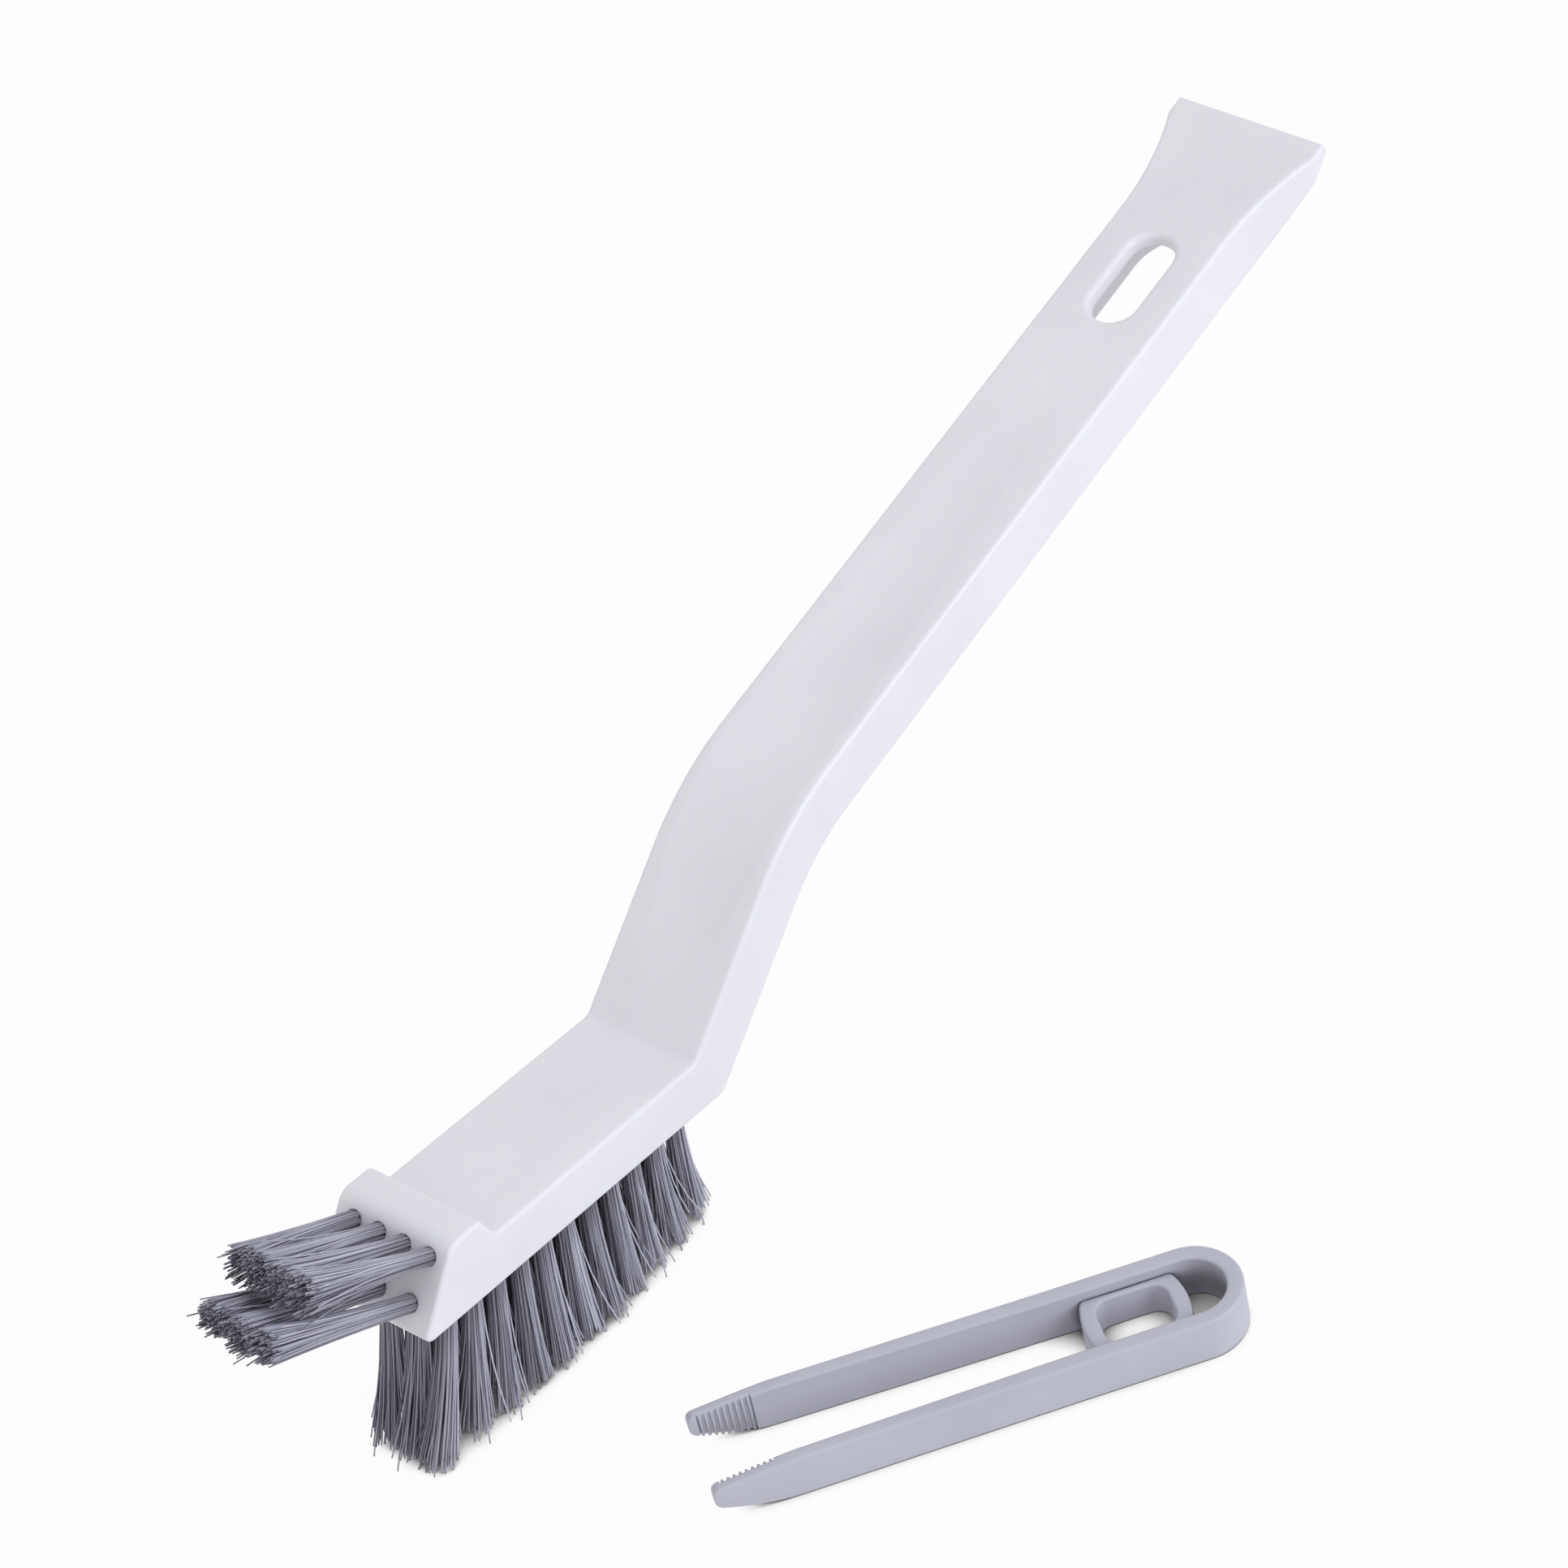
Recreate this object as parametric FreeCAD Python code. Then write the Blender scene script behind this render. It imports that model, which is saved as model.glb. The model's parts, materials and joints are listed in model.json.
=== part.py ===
import FreeCAD, Part
import math
import os
from FreeCAD import Vector

# A crevice brush: a moulded handle with bristle tufts on its nose and sole, and the
# tweezer clip that parks in the hollow under its grip. Millimetres and degrees.
# The brush is drawn on its level sole, X from nose to tail, and then stood on its bristles.

# Head of the handle moulding
head_length = 52.9
head_thickness = 8.0
front_width = 18.6
sole_edge_radius = 0.9
heel_radius = 2.4
crease_radius = 1.6
side_edge_radius = 0.6

# Nose block that carries the front tufts
nose_height = 11.75
nose_lean = 30.0
crest_back = 12.1
crest_run = 2.3
crest_edge_radius = 0.9
crest_foot_radius = 1.2
shoulder_radius = 2.6

# Neck and grip
neck_rise = 48.5
neck_length = 32.8
grip_rise = 19.4
grip_length = 121.6
limb_depth = 8.9
bend_radius = 36.0
grip_width = 17.2
dish_width = 16.4
dish_depth = 0.55
dish_start = 2.0
dish_stop = 41.0

# Scraper at the tail
tail_width = 23.8
tail_thickness = 1.8
flare_length = 19.5
tail_flat = 2.4
bevel_length = 10.0
bevel_radius = 38.0

# Hollow under the neck and grip
roof_thickness = 2.1
channel_start = 9.0
channel_corner_radius = 3.0

# Hanging slot
slot_length = 15.2
slot_width = 6.9
slot_rim_radius = 0.9
slot_to_tail = 29.3

# Tufts and the anchors that hold them
tuft_hole_diameter = 2.5
tuft_hole_depth = 4.6
tuft_clearance = 0.05
anchor_thickness = 0.36
anchor_height = 1.7
anchor_bite = 0.35
anchor_lift = 0.6
anchor_clearance = 0.05

# Sole tufts
sole_first = 8.6
sole_last = 51.8
sole_columns = 11
sole_row_spacing = 5.0
sole_tip_diameter = 3.9
sole_front_splay = 4.0
sole_heel_splay = 1.8
sole_trim_front = 26.5
sole_trim_angle = 8.3

# Front tufts
front_upper_columns = 4
front_upper_spacing = 4.1
front_upper_height = 10.9
front_upper_rise = 25.0
front_upper_length = 23.2
front_lower_columns = 3
front_lower_spacing = 5.25
front_lower_height = 4.4
front_lower_rise = 24.0
front_lower_length = 26.4
front_gather = 0.23
front_tip_diameter = 3.0

# Clip
clip_length = 70.9
clip_width = 13.4
clip_height = 6.8
clip_edge_radius = 0.4
clip_fit = 0.2
arm_thickness = 2.2
arm_spread = 0.6
arm_tip_thickness = 1.7
arm_top_taper = 1.2
arm_top_taper_length = 9.0
arm_bottom_taper = 2.6
arm_bottom_taper_length = 6.5
arm_taper_radius = 25.0
arm_tip_radius = 0.8
hinge_to_ring = 3.0
hinge_clearance = 0.06
ring_length = 13.8
ring_end_bow = 0.9
ring_hole_length = 9.4
ring_hole_width = 7.0
ring_hole_radius = 2.0
ring_to_end = 14.0
ring_drop = 1.6
rib_count = 9
rib_spacing = 0.8
rib_depth = 0.3
rib_to_tip = 1.2

# Place of the clip on the table beside the brush, from the sole's front edge
clip_ahead = 15.8
clip_aside = 34.9
clip_turn = 36.3

overrun = 5.0


def direction(rise):
    """Unit vector in the side view at an angle above X."""
    return Vector(math.cos(math.radians(rise)), 0, math.sin(math.radians(rise)))


def underside(rise):
    """Unit vector square to a run of that rise, pointing to its underside."""
    return Vector(math.sin(math.radians(rise)), 0, -math.cos(math.radians(rise)))


def corner_arc(before, point, after, radius):
    """Start, middle and end of the tangent arc that rounds a corner."""
    back = (before - point).normalize()
    ahead = (after - point).normalize()
    half = back.getAngle(ahead) / 2
    reach = radius / math.tan(half)
    middle = point + (back + ahead).normalize() * (radius / math.sin(half) - radius)
    return point + back * reach, middle, point + ahead * reach


def rounded_wire(corners):
    """Closed wire of straight runs joined by tangent arcs, from (point, radius) corners."""
    points = [point for point, radius in corners]
    following = points[1:] + points[:1]
    arcs = [corner_arc(points[i - 1], point, following[i], radius)
            for i, (point, radius) in enumerate(corners)]
    edges = []
    for i, (start, middle, end) in enumerate(arcs):
        if corners[i][1] > 0:
            edges.append(Part.Arc(start, middle, end).toShape())
        edges.append(Part.LineSegment(end, arcs[(i + 1) % len(arcs)][0]).toShape())
    return Part.Wire(edges)


def across(wire, width):
    """Solid of a side-view wire carried across the width, centred on the middle plane."""
    face = Part.Face(wire)
    face.translate(Vector(0, -width / 2, 0))
    return face.extrude(Vector(0, width, 0))


def bowed_bar(length, width, bow, height):
    """Upright bar along X with bowed ends, centred on the origin with its foot at zero."""
    reach = length / 2
    half = width / 2
    flat = reach - bow
    edges = [Part.LineSegment(Vector(-flat, -half, 0), Vector(flat, -half, 0)).toShape(),
             Part.Arc(Vector(flat, -half, 0), Vector(reach, 0, 0), Vector(flat, half, 0)).toShape(),
             Part.LineSegment(Vector(flat, half, 0), Vector(-flat, half, 0)).toShape(),
             Part.Arc(Vector(-flat, half, 0), Vector(-reach, 0, 0), Vector(-flat, -half, 0)).toShape()]
    return Part.Face(Part.Wire(edges)).extrude(Vector(0, 0, height))


def tangent_arc(start, heading, end):
    """Arc that leaves start along heading and passes through end."""
    chord = end - start
    along = chord.dot(heading)
    side = chord - heading * along
    radius = chord.dot(chord) / (2 * side.Length)
    half = math.atan2(side.Length, along)
    middle = start + heading * (radius * math.sin(half))
    middle = middle + side.normalize() * (radius * (1 - math.cos(half)))
    return Part.Arc(start, middle, end).toShape()


# Corners of the handle's side view
neck_way = direction(neck_rise)
grip_way = direction(grip_rise)
crease = Vector(head_length, 0, head_thickness)
bend = crease + neck_way * neck_length
tail = bend + grip_way * grip_length
bend_turn = math.radians(neck_rise - grip_rise)


def under_bend(depth):
    """Corner at the bend, that deep below the top line."""
    return bend + underside((neck_rise + grip_rise) / 2) * (depth / math.cos(bend_turn / 2))


def under_neck(depth, along):
    """Point of the neck, that deep below the top line and that far from the crease."""
    return crease + neck_way * along + underside(neck_rise) * depth


def under_grip(depth, to_tail):
    """Point of the grip, that deep below the top line and that far from the tail."""
    return tail - grip_way * to_tail + underside(grip_rise) * depth


def handle_blank():
    """Side view of the moulding, carried across as far as its plan outline."""
    neck_foot = under_neck(limb_depth, 0)
    heel = neck_foot - neck_way * (neck_foot.z / neck_way.z)
    nose_top = nose_height * math.tan(math.radians(nose_lean))
    side_view = rounded_wire([
        (Vector(0, 0, 0), sole_edge_radius),
        (heel, heel_radius),
        (under_bend(limb_depth), bend_radius - limb_depth),
        (under_grip(limb_depth, bevel_length), bevel_radius),
        (under_grip(tail_thickness, 0), 0),
        (tail, 0),
        (bend, bend_radius),
        (crease, crease_radius),
        (Vector(crest_back + crest_run, 0, head_thickness), crest_foot_radius),
        (Vector(crest_back, 0, nose_height), crest_edge_radius),
        (Vector(nose_top, 0, nose_height), shoulder_radius)])
    bar = across(side_view, tail_width + 2 * overrun)
    flare_start = under_grip(0, flare_length).x
    flare_end = under_grip(0, tail_flat).x
    taper = Vector(flare_start, grip_width / 2 - front_width / 2, 0).normalize()
    edges = []
    for side in (-1, 1):
        nose = Vector(0, side * front_width / 2, 0)
        heading = Vector(taper.x, side * taper.y, 0)
        start = Vector(flare_start, side * grip_width / 2, 0)
        end = Vector(flare_end, side * tail_width / 2, 0)
        way_out = end + Vector(tail_flat + overrun, 0, 0)
        ahead = nose - heading * overrun
        edges.append([Part.LineSegment(ahead, start).toShape(), tangent_arc(start, heading, end),
                      Part.LineSegment(end, way_out).toShape(), ahead, way_out])
    near, far = edges
    closing = [Part.LineSegment(near[4], far[4]).toShape(), Part.LineSegment(near[3], far[3]).toShape()]
    outline = Part.Wire(Part.__sortEdges__(near[:3] + far[:3] + closing))
    plan = Part.Face(outline)
    plan.translate(Vector(0, 0, -overrun))
    plan = plan.extrude(Vector(0, 0, tail.z + 2 * overrun))
    return bar.common(plan)


def rim_edges(solid, axis):
    """Edges where a face that looks along the axis meets one that looks across it."""
    found = []
    for edge in solid.Edges:
        middle = edge.valueAt((edge.FirstParameter + edge.LastParameter) / 2)
        facing = []
        for face in solid.ancestorsOfType(edge, Part.Face):
            normal = face.normalAt(*face.Surface.parameter(middle))
            facing.append(abs(normal.dot(axis)) > math.cos(math.radians(45)))
        if facing.count(True) == 1:
            found.append(edge)
    return found


def cut_slot(solid):
    """Hanging slot through the grip's roof, its upper rim rounded."""
    upright = FreeCAD.Rotation(Vector(0, 1, 0), -grip_rise)
    cutter = bowed_bar(slot_length, slot_width, slot_width / 2, limb_depth + 2 * overrun)
    cutter.Placement = FreeCAD.Placement(under_grip(limb_depth + overrun, slot_to_tail), upright)
    slotted = solid.cut(cutter)
    upwards = -underside(grip_rise)
    rim = []
    for face in slotted.Faces:
        if len(face.Wires) > 1 and face.normalAt(0, 0).dot(upwards) > math.cos(math.radians(1)):
            rim += [edge for wire in face.Wires[1:] for edge in wire.Edges]
    return slotted.makeFillet(slot_rim_radius, rim)


def dish_cutter():
    """Shallow round-bottomed sweep that dishes the top of the neck and grip."""
    start = under_neck(0, dish_start)
    low = under_bend(dish_depth)
    stop = under_grip(0, dish_stop)
    arc = corner_arc(start, low, stop, bend_radius - dish_depth)
    path = Part.Wire([Part.LineSegment(start, arc[0]).toShape(), Part.Arc(*arc).toShape(),
                      Part.LineSegment(arc[2], stop).toShape()])
    half = dish_width / 2
    dish_radius = (half ** 2 + dish_depth ** 2) / (2 * dish_depth)
    edge_half = front_width / 2
    edge_rise = dish_radius - math.sqrt(dish_radius ** 2 - edge_half ** 2)
    upwards = (low - start).normalize().cross(Vector(0, 1, 0))
    left = start + Vector(0, edge_half, 0) + upwards * edge_rise
    right = start - Vector(0, edge_half, 0) + upwards * edge_rise
    section = Part.Wire([Part.Arc(left, start, right).toShape(), Part.LineSegment(right, left).toShape()])
    return path.makePipeShell([section], True, True)


def channel_cutter():
    """Hollow under the neck and grip, round at the tail end, where the clip parks."""
    width = clip_width + 2 * clip_fit
    end = slot_to_tail - ring_to_end - clip_fit + width / 2
    deep = limb_depth + overrun
    run = across(rounded_wire([
        (under_neck(roof_thickness, channel_start), channel_corner_radius),
        (under_bend(roof_thickness), bend_radius - roof_thickness),
        (under_grip(roof_thickness, end), 0),
        (under_grip(deep, end), 0),
        (under_bend(deep), 0),
        (under_neck(deep, channel_start), 0)]), width)
    round_end = Part.makeCylinder(width / 2, deep - roof_thickness, under_grip(roof_thickness, end),
                                  underside(grip_rise))
    return run.fuse(round_end)


def seat(foot, turn):
    """Place of a tuft hole, from its foot and its turn about Y from upright."""
    return FreeCAD.Placement(foot, FreeCAD.Rotation(Vector(0, 1, 0), turn))


def sole_seats():
    """Node name, hole and bundle of each sole tuft. The outer bundles splay outwards."""
    found = []
    for row, side in (("left", 1), ("middle", 0), ("right", -1)):
        for column in range(sole_columns):
            share = column / (sole_columns - 1)
            foot = Vector(sole_first + share * (sole_last - sole_first), side * sole_row_spacing,
                          tuft_hole_depth)
            splay = (sole_front_splay if share < 0.5 else sole_heel_splay) * (2 * share - 1) ** 3
            length = sole_trim_front - (foot.x + splay) * math.tan(math.radians(sole_trim_angle))
            bundle = tuft(sole_tip_diameter, Vector(-splay, 0, length), sole_trim_angle)
            found.append(("sole_tuft_%s_%02d" % (row, column + 1), seat(foot, 180), bundle))
    return found


def front_seats():
    """Node name, hole and bundle of each front tuft. The bundles gather towards the middle."""
    found = []
    face_way = Vector(math.sin(math.radians(nose_lean)), 0, math.cos(math.radians(nose_lean)))
    rows = (("upper", front_upper_columns, front_upper_spacing, front_upper_height, front_upper_rise,
             front_upper_length),
            ("lower", front_lower_columns, front_lower_spacing, front_lower_height, front_lower_rise,
             front_lower_length))
    for row, columns, spacing, height, rise, length in rows:
        for column in range(columns):
            aside = Vector(0, ((columns - 1) / 2 - column) * spacing, 0)
            foot = face_way * height + aside + direction(-rise) * tuft_hole_depth
            bundle = tuft(front_tip_diameter, aside * -front_gather + Vector(0, 0, length), 0)
            found.append(("front_tuft_%s_%d" % (row, column + 1), seat(foot, rise - 90), bundle))
    return found


def placed(shape, place):
    """Copy of a shape at a place."""
    copy = shape.copy()
    copy.Placement = place
    return copy


def anchor():
    """Flat metal plate driven across a tuft's fold, wider than the hole by its bite."""
    width = tuft_hole_diameter + 2 * anchor_bite
    return Part.makeBox(anchor_thickness, width, anchor_height,
                        Vector(-anchor_thickness / 2, -width / 2, anchor_lift))


def tuft(tip_diameter, reach, trim_angle):
    """Bundle of folded filaments: round in its hole, opening to a slanted tip, split by its anchor.

    The reach runs from the mouth of the hole to the middle of the tip.
    """
    root = tuft_hole_diameter / 2 - tuft_clearance
    mouth = Vector(0, 0, tuft_hole_depth)
    facing = direction(90 + trim_angle)
    ends = [Part.Wire(Part.makeCircle(root, mouth, Vector(0, 0, 1))),
            Part.Wire(Part.makeCircle(tip_diameter / 2, mouth + reach, facing))]
    bundle = Part.makeCylinder(root, tuft_hole_depth).fuse(Part.makeLoft(ends, True, True)).removeSplitter()
    gap = anchor_thickness + 2 * anchor_clearance
    window = Part.makeBox(gap, tuft_hole_diameter, anchor_height + anchor_clearance,
                          Vector(-gap / 2, -tuft_hole_diameter / 2, anchor_lift))
    return bundle.cut(window)


def hinge_place(side):
    """Foot of the line about which an arm of the clip bends, in the clip's own frame."""
    along = clip_length - ring_to_end - ring_length / 2 - hinge_to_ring
    return Vector(along, side * (clip_width - arm_thickness) / 2, 0)


def clip_bow():
    """Round end of the clip with its ring, up to where the arms bend."""
    half = clip_width / 2
    inner = half - arm_thickness
    root = hinge_place(1).x
    centre = clip_length - half

    def loop(radius, start):
        edges = [Part.LineSegment(Vector(start, -radius, 0), Vector(centre, -radius, 0)).toShape(),
                 Part.Arc(Vector(centre, -radius, 0), Vector(centre + radius, 0, 0),
                          Vector(centre, radius, 0)).toShape(),
                 Part.LineSegment(Vector(centre, radius, 0), Vector(start, radius, 0)).toShape(),
                 Part.LineSegment(Vector(start, radius, 0), Vector(start, -radius, 0)).toShape()]
        return Part.Face(Part.Wire(edges)).extrude(Vector(0, 0, clip_height))

    bow = loop(half, root).cut(loop(inner, root - overrun))
    for side in (-1, 1):
        bow = bow.cut(Part.makeCylinder(arm_thickness / 2 + hinge_clearance, clip_height, hinge_place(side)))
    bow = bow.makeFillet(clip_edge_radius, rim_edges(bow, Vector(0, 0, 1)))
    middle = Vector(clip_length - ring_to_end, 0, 0)
    ring = bowed_bar(ring_length, 2 * inner + arm_thickness, ring_end_bow, clip_height - ring_drop)
    ring.translate(middle)
    half_length = ring_hole_length / 2
    half_width = ring_hole_width / 2
    corners = [(middle + Vector(along * half_length, aside * half_width, 0), ring_hole_radius)
               for along, aside in ((-1, -1), (1, -1), (1, 1), (-1, 1))]
    hole = Part.Face(rounded_wire(corners)).extrude(Vector(0, 0, clip_height))
    return bow.fuse(ring).cut(hole).removeSplitter()


def clip_arm(side):
    """One arm of the clip, from its round root to its ribbed tip."""
    root = hinge_place(side)
    tip_middle = root.y + side * arm_spread
    outer = Vector(0, tip_middle + side * arm_tip_thickness / 2, 0)
    inner = Vector(0, tip_middle - side * arm_tip_thickness / 2, 0)
    root_outer = root + Vector(0, side * arm_thickness / 2, 0)
    root_inner = root - Vector(0, side * arm_thickness / 2, 0)
    root_end = root + Vector(arm_thickness / 2, 0, 0)
    plan = Part.Wire([Part.LineSegment(inner, root_inner).toShape(),
                      Part.Arc(root_inner, root_end, root_outer).toShape(),
                      Part.LineSegment(root_outer, outer).toShape(),
                      Part.LineSegment(outer, inner).toShape()])
    blank = Part.Face(plan).extrude(Vector(0, 0, clip_height))
    past = root.x + overrun
    side_view = rounded_wire([
        (Vector(past, 0, 0), 0),
        (Vector(past, 0, clip_height), 0),
        (Vector(arm_top_taper_length, 0, clip_height), arm_taper_radius),
        (Vector(0, 0, clip_height - arm_top_taper), arm_tip_radius),
        (Vector(0, 0, arm_bottom_taper), arm_tip_radius),
        (Vector(arm_bottom_taper_length, 0, 0), arm_taper_radius)])
    arm = blank.common(across(side_view, 2 * clip_width))
    arm = arm.makeFillet(clip_edge_radius, rim_edges(arm, Vector(0, 0, 1)))
    lean = (root_inner.y - inner.y) / root.x
    for rib in range(rib_count):
        along = rib_to_tip + rib * rib_spacing
        face = inner.y + lean * along
        groove = Part.makeBox(rib_spacing / 2, rib_depth + overrun, clip_height, Vector(along, 0, 0))
        groove.translate(Vector(0, face + side * rib_depth - (rib_depth + overrun) * (side + 1) / 2, 0))
        arm = arm.cut(groove)
    return arm


# The handle with its tuft holes
sole_tufts = sole_seats()
front_tufts = front_seats()
hole = Part.makeCylinder(tuft_hole_diameter / 2, tuft_hole_depth + overrun)
socket = hole.fuse(anchor())
handle = handle_blank()
side_edges = [edge for edge in rim_edges(handle, Vector(0, 1, 0))
              if (tail - edge.CenterOfMass).dot(grip_way) > side_edge_radius]
handle = handle.makeFillet(side_edge_radius, side_edges)
handle = cut_slot(handle).cut(dish_cutter()).cut(channel_cutter())
handle = handle.cut([placed(socket, place) for name, place, bundle in sole_tufts + front_tufts])
pieces = {"brush_handle": handle}

# The tufts, and their anchors in one group for the sole and one for the nose
for name, place, bundle in sole_tufts + front_tufts:
    pieces[name] = placed(bundle, place)
for group, tufts in (("sole_anchors", sole_tufts), ("front_anchors", front_tufts)):
    pieces[group] = Part.makeCompound([placed(anchor(), place) for name, place, bundle in tufts])

# The brush stands on its trimmed bristles
stand = FreeCAD.Placement(Vector(0, 0, sole_trim_front * math.cos(math.radians(sole_trim_angle))),
                          FreeCAD.Rotation(Vector(0, 1, 0), sole_trim_angle))
for shape in pieces.values():
    shape.Placement = stand * shape.Placement

# The clip lies beside it
beside = FreeCAD.Placement(Vector(clip_ahead, -clip_aside, 0), FreeCAD.Rotation(Vector(0, 0, 1), -clip_turn))
clip = {"clip_bow": clip_bow(), "clip_arm_left": clip_arm(1), "clip_arm_right": clip_arm(-1)}
for name, shape in clip.items():
    shape.Placement = beside * shape.Placement
    pieces[name] = shape

# The origin is the middle of the base of the whole
bounds = Part.makeCompound(list(pieces.values())).optimalBoundingBox(False, False)
base_middle = Vector(bounds.Center.x, bounds.Center.y, bounds.ZMin)
os.makedirs("parts", exist_ok=True)
for name, shape in pieces.items():
    shape.translate(-base_middle)
    shape.exportStep("parts/" + name + ".step")
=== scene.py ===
import json
import math

import bmesh
import bpy
from mathutils import Matrix, Vector


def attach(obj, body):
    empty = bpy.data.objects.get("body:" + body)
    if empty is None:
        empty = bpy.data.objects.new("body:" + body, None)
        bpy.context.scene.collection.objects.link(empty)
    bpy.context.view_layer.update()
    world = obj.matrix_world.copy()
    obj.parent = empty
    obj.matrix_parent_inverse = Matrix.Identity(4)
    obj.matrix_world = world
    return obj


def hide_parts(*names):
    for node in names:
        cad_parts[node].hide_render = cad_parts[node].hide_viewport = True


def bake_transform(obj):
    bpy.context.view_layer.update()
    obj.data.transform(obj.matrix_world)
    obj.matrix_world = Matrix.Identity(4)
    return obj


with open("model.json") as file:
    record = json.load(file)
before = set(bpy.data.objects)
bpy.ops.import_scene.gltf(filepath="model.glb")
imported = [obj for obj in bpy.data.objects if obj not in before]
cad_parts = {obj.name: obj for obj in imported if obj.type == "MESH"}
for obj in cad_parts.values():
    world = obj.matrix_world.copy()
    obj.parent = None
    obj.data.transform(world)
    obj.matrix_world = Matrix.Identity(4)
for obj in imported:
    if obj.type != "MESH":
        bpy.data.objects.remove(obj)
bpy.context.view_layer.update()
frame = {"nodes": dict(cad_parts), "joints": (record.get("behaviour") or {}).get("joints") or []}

scene = bpy.context.scene
MM = 0.001

# Handle
# One injection moulding in white polypropylene: head, nose block, neck, grip and scraper tail.
# The gate and the cooling leave a faint mottle and an eggshell surface; edges are softly rounded.
handle = frame["nodes"]["brush_handle"]


def moulded_plastic(name, pale, deep, roughness, grain, relief):
    """Moulded plastic: slow mottle between two tones, uneven gloss and a fine eggshell relief."""
    material = bpy.data.materials.new(name)
    material.use_nodes = True
    nodes = material.node_tree.nodes
    links = material.node_tree.links
    shader = nodes["Principled BSDF"]
    place = nodes.new("ShaderNodeTexCoord")
    mottle = nodes.new("ShaderNodeTexNoise")
    mottle.inputs["Scale"].default_value = 55.0
    mottle.inputs["Detail"].default_value = 3.0
    links.new(place.outputs["Object"], mottle.inputs["Vector"])
    tone = nodes.new("ShaderNodeValToRGB")
    tone.color_ramp.elements[0].position = 0.3
    tone.color_ramp.elements[0].color = (*deep, 1)
    tone.color_ramp.elements[1].position = 0.7
    tone.color_ramp.elements[1].color = (*pale, 1)
    links.new(mottle.outputs["Fac"], tone.inputs["Fac"])
    links.new(tone.outputs["Color"], shader.inputs["Base Color"])
    speckle = nodes.new("ShaderNodeTexNoise")
    speckle.inputs["Scale"].default_value = grain
    speckle.inputs["Detail"].default_value = 4.0
    links.new(place.outputs["Object"], speckle.inputs["Vector"])
    gloss = nodes.new("ShaderNodeMapRange")
    gloss.inputs["To Min"].default_value = roughness - 0.06
    gloss.inputs["To Max"].default_value = roughness + 0.06
    links.new(speckle.outputs["Fac"], gloss.inputs["Value"])
    links.new(gloss.outputs["Result"], shader.inputs["Roughness"])
    bump = nodes.new("ShaderNodeBump")
    bump.inputs["Strength"].default_value = 0.25
    bump.inputs["Distance"].default_value = relief
    links.new(speckle.outputs["Fac"], bump.inputs["Height"])
    links.new(bump.outputs["Normal"], shader.inputs["Normal"])
    return material


white_moulding = moulded_plastic("white_moulding", pale=(0.86, 0.86, 0.88), deep=(0.82, 0.82, 0.845),
                                 roughness=0.36, grain=1500.0, relief=0.00002)
shader = white_moulding.node_tree.nodes["Principled BSDF"]
shader.inputs["Subsurface Weight"].default_value = 0.3
shader.inputs["Subsurface Radius"].default_value = (0.0025, 0.0022, 0.002)
shader.inputs["Subsurface Scale"].default_value = 1.0
handle.data.materials.clear()
handle.data.materials.append(white_moulding)

# Tuft anchors
# Flat plates cut from brass wire and driven across each folded tuft, hidden in the tuft holes.
brass = bpy.data.materials.new("anchor_brass")
brass.use_nodes = True
nodes = brass.node_tree.nodes
links = brass.node_tree.links
shader = nodes["Principled BSDF"]
shader.inputs["Metallic"].default_value = 1.0
place = nodes.new("ShaderNodeTexCoord")
drawn = nodes.new("ShaderNodeTexNoise")
drawn.inputs["Scale"].default_value = 900.0
links.new(place.outputs["Object"], drawn.inputs["Vector"])
tone = nodes.new("ShaderNodeValToRGB")
tone.color_ramp.elements[0].color = (0.55, 0.42, 0.2, 1)
tone.color_ramp.elements[1].color = (0.75, 0.6, 0.32, 1)
links.new(drawn.outputs["Fac"], tone.inputs["Fac"])
links.new(tone.outputs["Color"], shader.inputs["Base Color"])
shader.inputs["Roughness"].default_value = 0.35
for name in ("sole_anchors", "front_anchors"):
    plates = frame["nodes"][name]
    plates.data.materials.clear()
    plates.data.materials.append(brass)

# Bristle tufts
# Bundles of stiff grey nylon filament, folded over their anchors in the holes of the nose and the sole.
# The bundle is tight at the hole and opens towards the cut ends; each filament has its own slight bow.
FILAMENT = 0.2 * MM
HOLE_DEPTH = 4.6 * MM
START_IN_HOLE = 1.5 * MM
END_SLICE = 0.4 * MM
GOLDEN_ANGLE = math.radians(137.508)


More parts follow.
